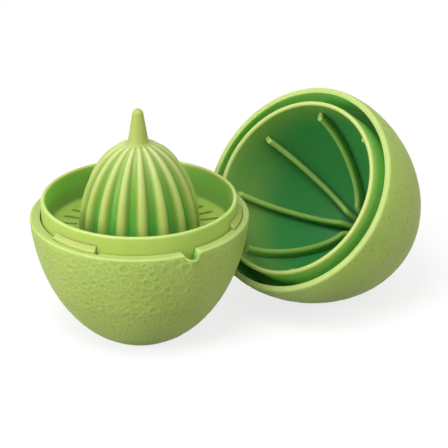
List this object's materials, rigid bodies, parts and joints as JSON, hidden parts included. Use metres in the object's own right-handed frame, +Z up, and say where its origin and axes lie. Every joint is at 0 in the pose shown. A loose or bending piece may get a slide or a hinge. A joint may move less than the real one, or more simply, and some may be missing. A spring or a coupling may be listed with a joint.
{
  "type": "citrus juicer",
  "caption": "Lime-shaped hand citrus juicer: juice bowl with pouring spout, lift-out strainer with fluted reamer, and a separate lid with a finned press cup, shown open.",
  "frame": {"origin": "middle of the bowl's flat foot, on the table", "axes": "+Z up along the bowl's axis, -Y towards the picture's viewer, +X towards the side where the lid lies"},
  "size_m": [0.1635, 0.1198, 0.099],
  "materials": {
    "rind": "pebbled satin",
    "inner": "smooth satin"
  },
  "bodies": {
    "bowl": {"bowl": "rind"},
    "insert": {"strainer": "inner", "reamer": "inner"},
    "lid": {"lid_shell": "rind", "press_cup": "inner"}
  },
  "joints": [
    {"name": "insert_lift", "type": "slide", "parent": "bowl", "child": "insert", "axis": [0, 0, 1], "range_m": [0, 0.06]},
    {"name": "lid_twist", "type": "hinge", "parent": "bowl", "child": "lid", "pos_m": [0.06483, 0.02044, 0.05505], "axis": [-0.5542, -0.5779, 0.599], "continuous": true}
  ]
}
